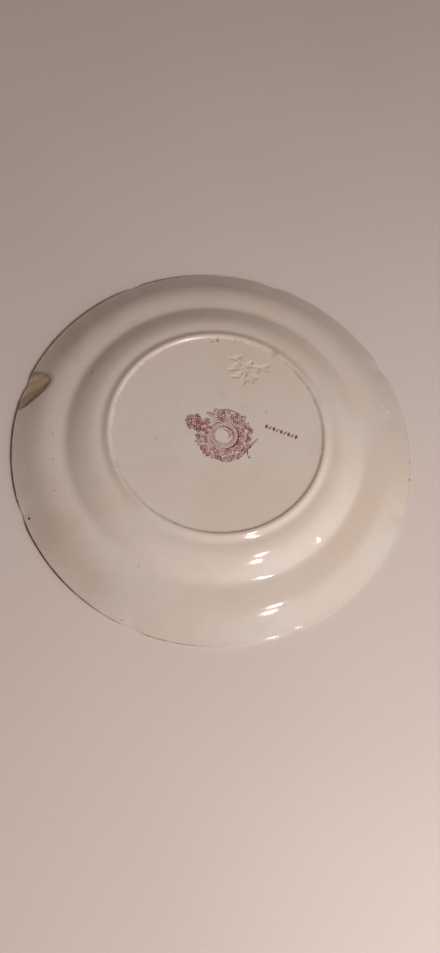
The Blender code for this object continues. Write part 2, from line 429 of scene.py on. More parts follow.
angles = stations(0, 360, [(0, 0.95), (58, 0.95), (62, 0.5), (98, 0.5), (102, 0.95), (166, 0.95), (169, 0.5),
                           (188, 0.5), (191, 0.95), (360, 0.95)])[:-1]
coarseAngles = np.arange(0, 360, 1.5)
fineSpacing = [(0, 3.5), (34, 2.5), (36, 0.6), (57, 0.6), (59, 1.5), (63, 0.6), (64, 0.28), (71, 0.4), (74, 0.8),
               (98, 0.9), (122, 1.2), (127, 0.5)]
faceSpacing = [(0, 6), (60, 3), (68, 1.2), (127, 1.2)]
coarseSpacing = [(0, 9), (58, 8), (63, 0.7), (71, 0.9), (74, 2.0), (98, 2.5), (127, 3.0)]


def surfaceRings(curve, spacing, end, shift=0.0):
    return [(radius, float(curve(radius)) + shift) for radius in stations(0, end, spacing)]


def lowered(rings):
    return [(radius, height - plate["sprigRoom"] * (radius < plate["sprigRoomRadius"])) for radius, height in rings]


def makeUndersideGlaze():
    thick = plate["glazeThickness"]
    arcEnd = plate["lipCentre"][0] + plate["lipReach"][0] * cos(radians(plate["lipStart"]))
    outer = surfaceRings(undersideAt, fineSpacing, arcEnd - 0.25)
    lip = lipArc(plate["lipStart"], -90, 15)
    hidden = lowered(surfaceRings(undersideAt, coarseSpacing, arcEnd - 0.7, -thick))
    inner = lipArc(-90, plate["lipStart"], 9, thick) + hidden[::-1]
    outside = len(outer) - 1

    def relief(x, y, number):
        calm = np.clip((121 - np.hypot(x, y)) / 6, 0, 1)            # none at the lip
        return np.where(number < outside, (surfaceWander(x, y) - pressedSprig(x, y)) * calm, 0.0)

    return turnedMesh("undersideGlaze", outer + lip + inner, angles, relief)


def makeFaceGlaze():
    thick = plate["glazeThickness"]
    end = rimRadius - plate["faceInset"]
    inner = surfaceRings(faceAt, coarseSpacing, end, thick)
    outer = surfaceRings(faceAt, faceSpacing, end)[::-1]
    return turnedMesh("faceGlaze", inner + outer, coarseAngles)


def makeClay():
    depth = plate["glazeThickness"] + plate["clayGap"]
    upperEnd, lowerEnd = (rimRadius - inset for inset in plate["clayInsets"])
    upper = lowered(surfaceRings(undersideAt, coarseSpacing, upperEnd, -depth))
    lower = surfaceRings(faceAt, coarseSpacing, lowerEnd, depth)[::-1]
    return turnedMesh("clayBody", upper + lipArc(56, -80, 9, depth) + lower, coarseAngles)


chip = {
    "centre": (-121.6, 2.3, 6.2),
    "radii": (15.5, 9.0, 3.7),
    "turn": 73.0,                # degrees, of the long axis from +X
    "tilt": -24.0,               # degrees, with the slope of the rim
    "squareness": 2.7,           # 2 is an oval
    "taper": 0.6,                # narrower towards its lower end
    "ripples": 0.028,
}


def makeChipCutter():
    # a flattened ball, blunter than an oval, with the rippled skin of a shell-shaped break
    power = chip["squareness"]
    build = bmesh.new()
    bmesh.ops.create_uvsphere(build, u_segments=96, v_segments=48, radius=1.0)
    for point in build.verts:
        x, y, z = point.co
        fromBlow = Vector((x - 0.55, y - 0.5, z)).length
        ripple = chip["ripples"] * sin(fromBlow * 17) + 0.015 * sin(9 * x + 4 * y) * sin(7 * y - 5 * x)
        across = max((x * x + y * y) ** 0.5, 1e-6)
        square = across / (abs(x) ** power + abs(y) ** power + 1e-12) ** (1 / power) if across > 1e-3 else 1.0
        point.co = Vector((x * square, y * square * (1 + chip["taper"] * x), z)) * (1 + ripple)
    place = (Matrix.Translation(chip["centre"]) @ Matrix.Rotation(radians(chip["tilt"]), 4, "Y")
             @ Matrix.Rotation(radians(chip["turn"]), 4, "Z") @ Matrix.Diagonal((*chip["radii"], 1.0)))
    bmesh.ops.transform(build, matrix=Matrix.Scale(mm, 4) @ place, verts=build.verts)
    return placed("chipCutter", built("chipCutter", build))


def chipAway(thing, cutter):
    cut = thing.modifiers.new("chip", "BOOLEAN")
    cut.operation, cut.solver, cut.object = "DIFFERENCE", "EXACT", cutter
    plainMesh(thing)
    thing.data.set_sharp_from_angle(angle=radians(40))


clayBody, undersideGlaze, faceGlaze = makeClay(), makeUndersideGlaze(), makeFaceGlaze()
cutter = makeChipCutter()
for thing in (clayBody, undersideGlaze):
    chipAway(thing, cutter)
bpy.data.objects.remove(cutter)
print("china plate: clay and glaze", len(undersideGlaze.data.polygons), "faces on the underside")


# Finishes

finish = {
    "ivory": srgb(222, 221, 212),
    "cool": srgb(215, 214, 206),
    "warm": srgb(222, 216, 202),
    # dark grime, also used for painted shade on the rim's upper-left side
    "grimeAndShade": srgb(104, 92, 74),
    "rust": srgb(150, 112, 72),
    "clay": srgb(202, 189, 167),
    "clayStain": srgb(152, 136, 112),
    # dark dirt, also used for painted shade on the chip's inner wall
    "clayDirtAndShade": srgb(56, 40, 28),
    "lipShadeAndStain": srgb(84, 60, 42),
    "scuff": srgb(240, 236, 226),
    # stretches of the lip darkened brown, on the side away from the light as painted shade with some stain:
    # direction, how the sides fade (as cosines), width in mm, strength
    "lipShadeAndStains": [(178.0, 0.2, 0.6, 0.75, 0.85), (205.0, 0.1, 0.4, 0.3, 0.5), (22.0, 0.8, 0.93, 0.2, 0.5)],
    "inkDark": srgb(118, 34, 54),
    "inkPale": srgb(222, 172, 169),
}
# stains and specks of the underside: angle, radius, size in mm, softness, raggedness, strength, colour
blemishes = [
    # the first six darken the rim's upper-left side, away from the light: painted shade in broad patches, with some
    # grime
    (162, 112, 15.0, 1.0, 0.7, 0.14, "grimeAndShade"), (154, 116, 13.0, 1.0, 0.8, 0.11, "grimeAndShade"),
    (146, 114, 14.0, 1.0, 0.8, 0.08, "grimeAndShade"), (137, 117, 13.0, 1.0, 0.8, 0.06, "grimeAndShade"),
    (126, 118, 14.0, 1.0, 0.7, 0.05, "grimeAndShade"), (104, 119, 18.0, 1.0, 0.6, 0.08, "grimeAndShade"),
    (228, 112, 30.0, 1.0, 0.4, 0.2, "rust"), (212, 108, 20.0, 1.0, 0.5, 0.1, "rust"),
    (245, 116, 22.0, 1.0, 0.5, 0.12, "rust"), (166.6, 88, 1.2, 0.6, 0.3, 0.6, "grimeAndShade"),
    (171.5, 86.5, 0.8, 0.6, 0.3, 0.35, "grimeAndShade"), (194.5, 100, 1.0, 0.7, 0.2, 0.4, "grimeAndShade"),
    (204, 100, 1.0, 0.7, 0.2, 0.4, "grimeAndShade"), (215, 103.5, 1.0, 0.7, 0.2, 0.35, "grimeAndShade"),
    (219.1, 123.0, 0.95, 0.3, 0.2, 1.0, "clayDirtAndShade"), (203.4, 38, 1.0, 0.8, 0.2, 0.3, "grimeAndShade"),
    (104.0, 62.6, 1.5, 0.6, 0.5, 0.5, "grimeAndShade"), (107.0, 61.6, 1.2, 0.6, 0.5, 0.4, "grimeAndShade"),
    (38.0, 32.5, 1.2, 0.9, 0.3, 0.35, "grimeAndShade"), (25.5, 114.5, 2.6, 0.9, 0.7, 0.45, "scuff"),
    (23.5, 112.0, 2.0, 0.9, 0.8, 0.45, "scuff"), (27.5, 112.5, 1.8, 0.9, 0.8, 0.4, "scuff"),
    (70.0, 65.8, 4.0, 0.9, 0.6, 0.35, "rust"), (61.7, 22.4, 0.9, 0.9, 0.3, 0.35, "grimeAndShade"),
    (255, 94, 1.0, 0.8, 0.3, 0.3, "grimeAndShade"), (352.0, 125.6, 0.9, 0.4, 0.5, 0.7, "clayStain"),
    (4.0, 125.8, 1.0, 0.4, 0.5, 0.8, "rust"), (9.5, 125.6, 0.8, 0.4, 0.5, 0.7, "clayStain"),
    (258.0, 124.2, 0.7, 0.4, 0.4, 0.5, "grimeAndShade"),
]


def onPlate(angle, radius):
    return (radius * cos(radians(angle)), radius * sin(radians(angle)), float(undersideAt(radius)))


def chipFrame(tree, inMm):
    # the chip's own axes, each 1 at the cutter's edge
    made = addNode(tree, "ShaderNodeMapping", {
        "Vector": inMm, "Location": chip["centre"],
        "Rotation": (0.0, 0.0, radians(chip["turn"])), "Scale": chip["radii"]}, vector_type="TEXTURE")
    return made.outputs[0]


def chipOutline(tree, parts):
    # 1 on the cutter's outline, less inside it
    across = maths(tree, "DIVIDE", parts["Y"], maths(tree, "MULTIPLY_ADD", parts["X"], chip["taper"], 1.0))
    powers = [maths(tree, "POWER", maths(tree, "ABSOLUTE", part), chip["squareness"])
              for part in (parts["X"], across)]
    return maths(tree, "POWER", maths(tree, "ADD", *powers), 1 / chip["squareness"])


def stained(tree, tone, mask, strength, colour):
    return blend(tree, times(tree, mask, strength), tone, finish[colour])


def glazeFinish(name, isUnderside):
    material, tree, shader, inMm = newMaterial(name)
    tone = useGroup(tree, mottle, {"Vector": inMm, "Cool": finish["cool"], "Plain": finish["ivory"],
                                   "Warm": finish["warm"]})["Colour"]
    radius = vectorMaths(tree, "LENGTH", vectorMaths(tree, "MULTIPLY", inMm, (1.0, 1.0, 0.0)))
    dull = ease(tree, radius, 96.0, 114.0, 0.0, 0.12)             # handling has dulled the outer rim
    tone = blend(tree, dull, tone, finish["grimeAndShade"])
    # fine dark flecks, most of them out on the rim and in the groove beside the foot ring
    dots = addNode(tree, "ShaderNodeTexVoronoi", {"Vector": inMm, "Scale": 0.16, "Randomness": 1.0})
    dot = opposite(tree, ease(tree, dots.outputs["Distance"], 0.02, 0.07))
    some = ease(tree, cloudy(tree, inMm, 0.11, 2.0), 0.56, 0.66)
    tone = stained(tree, tone, times(tree, dot, some), 0.55, "grimeAndShade")
    lines = useGroup(tree, crazing, {"Vector": inMm, "Cell": 5.0, "Width": 0.09, "Cover": 0.55})["Lines"]
    tone = stained(tree, tone, lines, 0.16, "rust")
    # the lip's crest is darkened brown all along one side, away from the light, as painted shade with some stain, and
    # thinly stained opposite
    parts = split(tree, inMm)
    crest = ease(tree, parts["Z"], 0.7, 1.3)
    patchy = ease(tree, cloudy(tree, inMm, 0.2, 4.0, 0.6), 0.3, 0.6, 0.6, 1.0)
    lipStainWearAndShade = 0.06
    for angle, low, high, width, strength in finish["lipShadeAndStains"]:
        towards = (cos(radians(angle)), sin(radians(angle)), 0.0)
        side = useGroup(tree, sector, {"Vector": inMm, "Direction": towards, "Low": low, "High": high})["Mask"]
        outer = ease(tree, radius, rimRadius - width - 0.6, rimRadius - width)
        lipStainWearAndShade = maths(tree, "MULTIPLY_ADD", times(tree, side, outer), strength, lipStainWearAndShade)
    lipStainWearAndShade = times(tree, times(tree, crest, patchy), lipStainWearAndShade)
    tone = blend(tree, lipStainWearAndShade, tone, finish["lipShadeAndStain"])
    if isUnderside:
        fromRing = maths(tree, "ABSOLUTE", maths(tree, "SUBTRACT", radius, 64.2))
        groove = opposite(tree, ease(tree, fromRing, 0.1, 1.2))                 # beside the foot ring
        dirt = times(tree, groove, ease(tree, cloudy(tree, inMm, 0.25, 5.0, 0.7), 0.45, 0.8))
        tone = stained(tree, tone, dirt, 0.6, "grimeAndShade")
        for angle, away, size, softness, rag, strength, colour in blemishes:
            mask = useGroup(tree, spot, {"Vector": inMm, "Centre": onPlate(angle, away), "Size": size,
                                         "Softness": softness, "Raggedness": rag})["Mask"]
            tone = stained(tree, tone, mask, strength, colour)
        # dirt has crept under the glaze round the chip
        local = split(tree, chipFrame(tree, inMm))
        outline = chipOutline(tree, local)
        near = opposite(tree, ease(tree, outline, 0.92, 1.12))
        inner = ease(tree, local["Y"], 0.1, -0.4, 0.2, 0.5)
        broken = opposite(tree, ease(tree, outline, 0.88, 0.96))
        tone = stained(tree, tone, broken, 0.5, "clayDirtAndShade")
        tone = stained(tree, tone, near, inner, "clayStain")
    smear = cloudy(tree, inMm, 0.05, 5.0, 0.6, 0.8)
    rough = maths(tree, "ADD", ease(tree, smear, 0.35, 0.75, 0.045, 0.09), times(tree, lipStainWearAndShade, 0.6))
    if isUnderside:
        rough = maths(tree, "MULTIPLY_ADD", groove, 0.25, rough)
    coat = maths(tree, "MULTIPLY_ADD", lipStainWearAndShade, -0.22, 0.22)
    setInputs(tree, shader, {"Base Color": tone, "Roughness": rough, "Coat Weight": coat, "Coat Roughness": 0.03})
    ripple = times(tree, cloudy(tree, inMm, 0.09, 2.0), 0.5)
    peel = maths(tree, "MULTIPLY_ADD", cloudy(tree, inMm, 0.7, 3.0), 0.045, ripple)
    height = maths(tree, "MULTIPLY_ADD", lines, -0.03, peel)
    addBump(tree, shader, 0.35, 0.0005, height)
    return material


def clayFinish():
    material, tree, shader, inMm = newMaterial("bareClay")
    parts = split(tree, chipFrame(tree, inMm))
    outline = chipOutline(tree, parts)
    stain = ease(tree, parts["X"], 0.9, -0.7)                       # darker towards the tapered end
    uneven = cloudy(tree, inMm, 0.3, 6.0, 0.65)
    tone = blend(tree, maths(tree, "MULTIPLY_ADD", uneven, 0.8, times(tree, stain, 0.35)),
                 finish["clay"], finish["clayStain"])
    inside = ease(tree, parts["Y"], 0.3, -0.1)                     # darker along the inner edge: dirt, and painted shade on the steep wall that faces away from the light
    innerEdgeDirtAndShade = times(tree, ease(tree, outline, 0.84, 0.93), inside)
    tone = blend(tree, innerEdgeDirtAndShade, tone, finish["clayDirtAndShade"])
    pores = addNode(tree, "ShaderNodeTexVoronoi", {"Vector": inMm, "Scale": 1.6}).outputs["Distance"]
    pitted = opposite(tree, ease(tree, pores, 0.05, 0.25))
    tone = stained(tree, tone, pitted, 0.35, "clayDirtAndShade")
    setInputs(tree, shader, {"Base Color": tone, "Roughness": ease(tree, uneven, 0.2, 0.8, 0.6, 0.9)})
    grain = maths(tree, "MULTIPLY_ADD", pitted, -0.5, cloudy(tree, inMm, 1.8, 6.0, 0.7))
    addBump(tree, shader, 0.5, 0.0003, grain)
    return material


def inkFinish():
    material, tree, shader, inMm = newMaterial("mulberryInk")
    tint = addNode(tree, "ShaderNodeAttribute", attribute_name="tint").outputs["Fac"]
    hatch = addNode(tree, "ShaderNodeTexWave", {"Vector": inMm, "Scale": 0.9, "Distortion": 0.6, "Detail": 1.0},
                    bands_direction="DIAGONAL").outputs["Fac"]
    pale = times(tree, tint, ease(tree, hatch, 0.25, 0.7, 0.35, 1.0))
    tone = blend(tree, pale, finish["inkDark"], finish["inkPale"])
    missed = ease(tree, cloudy(tree, inMm, 0.8, 5.0, 0.7), 0.52, 0.75)
    tone = stained(tree, tone, missed, 0.7, "ivory")
    setInputs(tree, shader, {"Base Color": tone, "Roughness": 0.16, "Coat Weight": 0.35, "Coat Roughness": 0.06})
    addBump(tree, shader, 0.2, 0.0002, cloudy(tree, inMm, 0.7, 3.0))
    return material


mulberry = inkFinish()
for thing, material in ((clayBody, clayFinish()), (undersideGlaze, glazeFinish("undersideGlaze", True)),
                        (faceGlaze, glazeFinish("faceGlaze", False))):
    thing.data.materials.clear()
    thing.data.materials.append(material)
print("china plate: finishes")


# Transfer prints: thin closed shapes of ink, drawn in lines. Each motif is about one unit long and one thick.

inkDepth = 0.03                                         # mm
inkLift = 0.015                                         # mm, from the glaze to the ink


def line(path, width, closed=True, depth=inkDepth, ends=0.35):
    # a flat ribbon of ink along points, closed into a loop or thinning to its ends
    path = np.array(path, float)
    ahead = np.roll(path, -1, 0) - np.roll(path, 1, 0) if closed else np.gradient(path, axis=0)
    side = np.stack([-ahead[:, 1], ahead[:, 0]], -1) / np.linalg.norm(ahead, axis=1)[:, None]
    swell = np.ones(len(path)) if closed else ends + (1 - ends) * np.sin(np.linspace(0, np.pi, len(path)))
    away = side * swell[:, None] * width / 2
    columns = [np.column_stack([edge, np.full(len(path), height)]) for edge, height in (
        (path + away, 0.0), (path - away, 0.0), (path - away, depth), (path + away, depth))]
    points = np.stack(columns, 1).reshape(-1, 3)
    count = len(path)
    faces = []
    for here in range(count if closed else count - 1):
        after = (here + 1) % count
        for low in range(4):
            high = (low + 1) % 4
            faces.append((here * 4 + low, here * 4 + high, after * 4 + high, after * 4 + low))
    if not closed:
        faces += [(3, 2, 1, 0), tuple((count - 1) * 4 + low for low in range(4))]
    return points, faces, np.zeros(len(points))


def joined(parts):
    points, faces, tints, total = [], [], [], 0
    for partPoints, partFaces, partTints in parts:
        points.append(partPoints)
        tints.append(partTints)
        faces += [tuple(total + corner for corner in face) for face in partFaces]
        total += len(partPoints)
    return np.vstack(points), faces, np.concatenate(tints)


def patch(outline, tint):
    # a filled shape whose edge is dark and whose middle has the given tint, 0 dark to 1 pale
    count = len(outline)
    middle = np.mean(outline, axis=0)
    inner = [tuple(middle + (np.array(point) - middle) * 0.6) for point in outline]
    layers = ((outline, 0.0), (outline, 1.0), (inner, 1.0))
    points = [(x, y, height) for path, height in layers for x, y in path]
    faces = [tuple(range(count))[::-1], tuple(range(2 * count, 3 * count))]
    for here in range(count):
        after = (here + 1) % count
        faces.append((here, after, count + after, count + here))
        faces.append((count + here, count + after, 2 * count + after, 2 * count + here))
    return np.array(points), faces, np.array([0.0] * (2 * count) + [tint] * count)


def leafOutline(width=0.36, steps=6):
    upper = [(step / steps, width / 2 * sin(np.pi * (step / steps) ** 0.8)) for step in range(1, steps)]
    return [(0.0, 0.0)] + [(x, -y) for x, y in upper] + [(1.0, 0.0)] + upper[::-1]


def flowerOutline(petals=5, steps=4, waist=0.62, size=0.5):
    total = petals * steps
    reaches = [size * (waist + (1 - waist) * abs(cos(petals * step / total * tau / 2))) for step in range(total)]
    return [(reach * cos(step / total * tau), reach * sin(step / total * tau)) for step, reach in enumerate(reaches)]


def curlPath(turns=1.15, steps=13):
    # a scroll that winds inwards from its foot
    path = []
    for step in range(steps):
        share = step / (steps - 1)
        reach, turn = 0.36 * (1 - 0.72 * share), np.pi + share * turns * tau
        path.append((0.42 + reach * cos(turn), reach * sin(turn)))
    return path


def makeMotif(name, parts):
    points, faces, tints = joined(parts)
    mesh = bpy.data.meshes.new(name)
    mesh.from_pydata(points.tolist(), [], faces)
    mesh.attributes.new("tint", "FLOAT", "POINT").data.foreach_set("value", tints)
    return placed(name, mesh)


motifs = {
    "leaf": makeMotif("leafMotif", [line(leafOutline(0.4), 0.07, depth=1.0),
                                    line([(0.0, 0.0), (0.85, 0.0)], 0.07, False, depth=1.0, ends=0.8)]),
    "filledLeaf": makeMotif("filledLeafMotif", [patch(leafOutline(0.34), 0.7)]),
    "flower": makeMotif("flowerMotif", [line(flowerOutline(), 0.075, depth=1.0),
                                        line(flowerOutline(1, 8, 1.0, 0.16), 0.09, depth=1.0)]),
    "filledFlower": makeMotif("filledFlowerMotif", [patch(flowerOutline(), 0.8)]),
    "curl": makeMotif("curlMotif", [line(curlPath(), 0.1, False, depth=1.0)]),
    "bud": makeMotif("budMotif", [patch(flowerOutline(1, 8, 1.0), 0.2)]),
    "tick": makeMotif("tickMotif", [line([(-0.5, 0.0), (0.5, 0.0)], 0.14, False, depth=1.0, ends=1.0)]),
    "hair": makeMotif("hairMotif", [line([(-0.5, 0.0), (0.0, 0.02), (0.5, 0.0)], 0.035, False, depth=1.0, ends=0.6)]),
    "lozenge": makeMotif("lozengeMotif", [patch([(-0.5, 0), (0, -0.3), (0.5, 0), (0, 0.3)], 0.2)]),
}


def makeRingTree():
    tree = bpy.data.node_groups.new("ringOfMotifs", "GeometryNodeTree")
    wanted = [("Geometry", "Geometry"), ("Motif", "Object"), ("Centre", "Vector"), ("Radius", "Float"),
              ("Start", "Float"), ("Sweep", "Float"), ("Count", "Int"), ("Turn", "Float"), ("Turn Back", "Float"),
              ("Turn Jitter", "Float"), ("Size", "Float"), ("Size Jitter", "Float"), ("Radius Jitter", "Float"),
              ("Thickness", "Float"), ("Stack", "Float"), ("Seed", "Int"), ("Ink", "Material")]
    for label, kind in wanted:
        tree.interface.new_socket(label, in_out="INPUT", socket_type="NodeSocket" + kind)
    tree.interface.new_socket("Geometry", in_out="OUTPUT", socket_type="NodeSocketGeometry")
    given = tree.nodes.new("NodeGroupInput").outputs

    def chance(low, high, shift):
        made = addNode(tree, "FunctionNodeRandomValue", data_type="FLOAT")
        seed = maths(tree, "ADD", given["Seed"], shift)
        return identified(tree, made, {"Min_001": low, "Max_001": high, "Seed": seed}, "Value_001")

    def between(amount, shift):
        return times(tree, chance(-1.0, 1.0, shift), given[amount])

    index = addNode(tree, "GeometryNodeInputIndex").outputs[0]
    angle = maths(tree, "MULTIPLY_ADD", maths(tree, "DIVIDE", index, given["Count"]), given["Sweep"], given["Start"])
    reach = maths(tree, "ADD", given["Radius"], between("Radius Jitter", 1))
    across = times(tree, reach, maths(tree, "COSINE", angle))
    along = times(tree, reach, maths(tree, "SINE", angle))
    lift = times(tree, chance(0.0, 1.0, 2), given["Stack"])
    offset = addNode(tree, "ShaderNodeCombineXYZ", {0: across, 1: along, 2: lift}).outputs[0]
    place = vectorMaths(tree, "ADD", offset, given["Centre"])
    points = addNode(tree, "GeometryNodePoints", {"Count": given["Count"], "Position": place}).outputs[0]
    odd = maths(tree, "MODULO", index, 2.0)
    lean = maths(tree, "MULTIPLY_ADD", odd, given["Turn Back"], given["Turn"])
    turn = maths(tree, "ADD", maths(tree, "ADD", angle, lean), between("Turn Jitter", 3))
    size = maths(tree, "MULTIPLY_ADD", between("Size Jitter", 4), given["Size"], given["Size"])
    scale = addNode(tree, "ShaderNodeCombineXYZ", {0: size, 1: size, 2: given["Thickness"]}).outputs[0]
    rotation = addNode(tree, "ShaderNodeCombineXYZ", {2: turn}).outputs[0]
    motif = addNode(tree, "GeometryNodeObjectInfo", {"Object": given["Motif"]}).outputs["Geometry"]
    copies = addNode(tree, "GeometryNodeInstanceOnPoints", {"Points": points, "Instance": motif,
                                                            "Rotation": rotation, "Scale": scale}).outputs[0]
    real = addNode(tree, "GeometryNodeRealizeInstances", {0: copies}).outputs[0]
    inked = addNode(tree, "GeometryNodeSetMaterial", {"Geometry": real, "Material": given["Ink"]}).outputs[0]
    setInput(tree, tree.nodes.new("NodeGroupOutput").inputs[0], inked)
    return tree


ringTree = makeRingTree()


def ring(motif, radius, count, size, turn=0.0, turnBack=0.0, turnJitter=0.0, sizeJitter=0.1, radiusJitter=0.0,
         centre=(0.0, 0.0), start=0.0, sweep=360.0, stack=0.03, seed=1, pale=0.0):
    # motifs round a circle or an arc; turn is from the outward direction, turnBack is added on every second one
    values = {"Motif": motifs[motif], "Centre": (*centre, 0.0), "Radius": float(radius), "Start": radians(start),
              "Sweep": radians(sweep), "Count": count, "Turn": radians(turn), "Turn Back": radians(turnBack),
              "Turn Jitter": radians(turnJitter), "Size": float(size), "Size Jitter": float(sizeJitter),
              "Radius Jitter": float(radiusJitter), "Thickness": inkDepth, "Stack": float(stack), "Seed": seed,
              "Ink": mulberry}
    holder = placed("ringHolder", bpy.data.meshes.new("ringHolder"))
    modifier = holder.modifiers.new("ring", "NODES")
    modifier.node_group = ringTree
    for item in ringTree.interface.items_tree:
        if item.name in values:
            modifier[item.identifier] = values[item.name]
    mesh = plainMesh(holder).data
    points = np.array([point.co for point in mesh.vertices])
    tints = np.zeros(len(points))
    mesh.attributes["tint"].data.foreach_get("value", tints)
    faces = [tuple(polygon.vertices) for polygon in mesh.polygons]
    bpy.data.objects.remove(holder)
    return points, faces, np.maximum(tints, pale)


def bentPath(radius, turns, centre, waves, swing):
    reach = radius + swing * np.sin(turns * waves)
    return np.stack([centre[0] + reach * np.cos(turns), centre[1] + reach * np.sin(turns)], -1)


def arcLine(radius, width, centre, start, sweep, steps=60, waves=0, swing=0.0):
    turns = np.radians(np.linspace(start, start + sweep, steps))
    return line(bentPath(radius, turns, centre, waves, swing), width, False)


def hoop(radius, width, centre=(0.0, 0.0), waves=0, swing=0.0, steps=180):
    turns = np.linspace(0, tau, steps, endpoint=False)
    return line(bentPath(radius, turns, centre, waves, swing), width)


def makePrint(name, parts, height, side, node):
    # joins the shapes, lays them on a surface and lets them stand for their CAD film
    points, faces, tints = joined(parts)
    points[:, 2] = height(points[:, 0], points[:, 1]) + side * (points[:, 2] + inkLift)
    mesh = bpy.data.meshes.new(name)
    mesh.from_pydata((points * mm).tolist(), [], faces)
    mesh.attributes.new("tint", "FLOAT", "POINT").data.foreach_set("value", tints)
    build = bmesh.new()
    build.from_mesh(mesh)
    bmesh.ops.recalc_face_normals(build, faces=build.faces)
    build.to_mesh(mesh)
    build.free()
    mesh.materials.append(mulberry)
    made = placed(name, mesh)
    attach(made, "root")
    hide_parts(node)
    return made


def onBase(x, y):
    return undersideAt(np.hypot(x, y)) + surfaceWander(x, y) - pressedSprig(x, y)


def onFace(x, y):
    radius = np.hypot(x, y)
    return faceAt(radius + drawnIn(radius, np.degrees(np.arctan2(y, x))))


def boxCentre(node):
    low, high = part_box(node)
    return ((low.x + high.x) / 2 / mm, (low.y + high.y) / 2 / mm)


mark = {
    "centre": boxCentre("backstamp_medallion"),
    "ringRadius": 9.0,
    "blankRadius": 5.6,
    "vineRadius": 13.6,
    "sprayAngle": 169.0,
    "sprayReach": 19.5,
    "innerSprayReach": 13.5,
    "flourish": boxCentre("backstamp_flourish"),
    "flourishTurn": -6.4,
    "flourishLength": 20.6,
}


def makeMedallion():
    centre, blank, outer = mark["centre"], mark["blankRadius"], mark["ringRadius"]
    parts = [hoop(outer, 0.3, centre), hoop(outer - 0.95, 0.14, centre), hoop(blank, 0.22, centre),
             arcLine(outer + 0.05, 1.15, centre, -80, 150), arcLine(outer - 0.1, 0.5, centre, 95, 75),
             arcLine(outer - 0.1, 0.5, centre, 200, 55), arcLine(blank + 0.1, 0.7, centre, 0, 140),
             arcLine(blank + 0.9, 0.3, centre, -60, 120),
             ring("tick", (blank + outer - 0.9) / 2, 34, 1.9, sizeJitter=0.25, centre=centre, seed=4, pale=0.55),
             ring("tick", blank + 1.2, 12, 1.5, centre=centre, start=160, sweep=90, seed=6, pale=0.0),
             ring("hair", (blank + outer) / 2, 46, 3.2, 25, 0, 10, centre=centre, seed=5, pale=0.75),
             ring("hair", blank - 1.7, 22, 3.4, 62, 0, 10, centre=centre, start=-5, sweep=110, radiusJitter=0.6,
                  seed=7, pale=0.5)]
    return makePrint("printedMedallion", parts, onBase, 1, "backstamp_medallion")


def makeWreath():
    centre, vine = mark["centre"], mark["vineRadius"]
    arc = {"centre": centre, "start": 196, "sweep": 308}
    parts = [arcLine(vine, 0.35, centre, 200, 300, 150, 11, 1.3),
             arcLine(vine + 1.6, 0.22, centre, 204, 290, 150, 17, 1.0),
             arcLine(vine - 2.3, 0.3, centre, 196, 306, 150, 15, 0.9),
             arcLine(10.2, 0.3, centre, 190, 320, 120, 21, 0.3),
             arcLine(vine + 2.9, 0.35, centre, 215, 40, 40), arcLine(vine + 3.5, 0.35, centre, 300, 50, 40),
             arcLine(vine + 3.6, 0.45, centre, 425, 50, 40), arcLine(vine + 3.2, 0.4, centre, 375, 30, 30),
             ring("hair", vine - 1.7, 80, 4.6, 15, 0, 22, 0.3, 0.6, seed=10, pale=0.75, **arc),
             ring("hair", vine + 1.9, 80, 3.2, -25, 0, 22, 0.35, 0.7, seed=18, pale=0.8, **arc),
             ring("leaf", vine + 0.6, 17, 4.4, 42, -84, 22, 0.2, 0.5, seed=11, pale=0.3, **arc),
             ring("leaf", vine - 0.9, 14, 3.8, 138, 84, 22, 0.2, 0.5, seed=12, pale=0.4, **arc),
             ring("flower", vine + 0.5, 9, 4.6, 0, 0, 60, 0.15, 1.0, stack=0.05, seed=13, pale=0.1, **arc),
             ring("curl", vine + 1.2, 13, 3.8, 20, 70, 35, 0.2, 0.8, stack=0.05, seed=14, **arc),
             ring("curl", vine - 2.0, 12, 2.8, 190, 60, 35, 0.2, 0.6, stack=0.05, seed=19, pale=0.2, **arc),
             ring("filledLeaf", vine + 2.6, 9, 1.7, 60, -120, 30, 0.3, 0.7, seed=15, **arc),
             ring("bud", vine + 3.6, 15, 0.75, radiusJitter=0.4, sizeJitter=0.3, seed=16, **arc),
             ring("bud", vine - 1.4, 14, 0.75, radiusJitter=1.6, sizeJitter=0.3, seed=17, **arc)]
    x, y = centre
    for path, width in (([(14.0, -8.6), (15.6, -6.2), (17.4, -2.6), (19.2, 0.8), (20.6, 3.6)], 0.6),
                        ([(15.6, -4.6), (16.4, -7.0), (17.0, -9.2)], 0.6),
                        ([(17.5, -9.6), (18.7, -10.3)], 1.5)):               # the tail, its side shoot and a drop
        parts.append(line([(x + away, y + up) for away, up in path], width, False, ends=0.5))
    return makePrint("printedWreath", parts, onBase, 1, "backstamp_wreath")


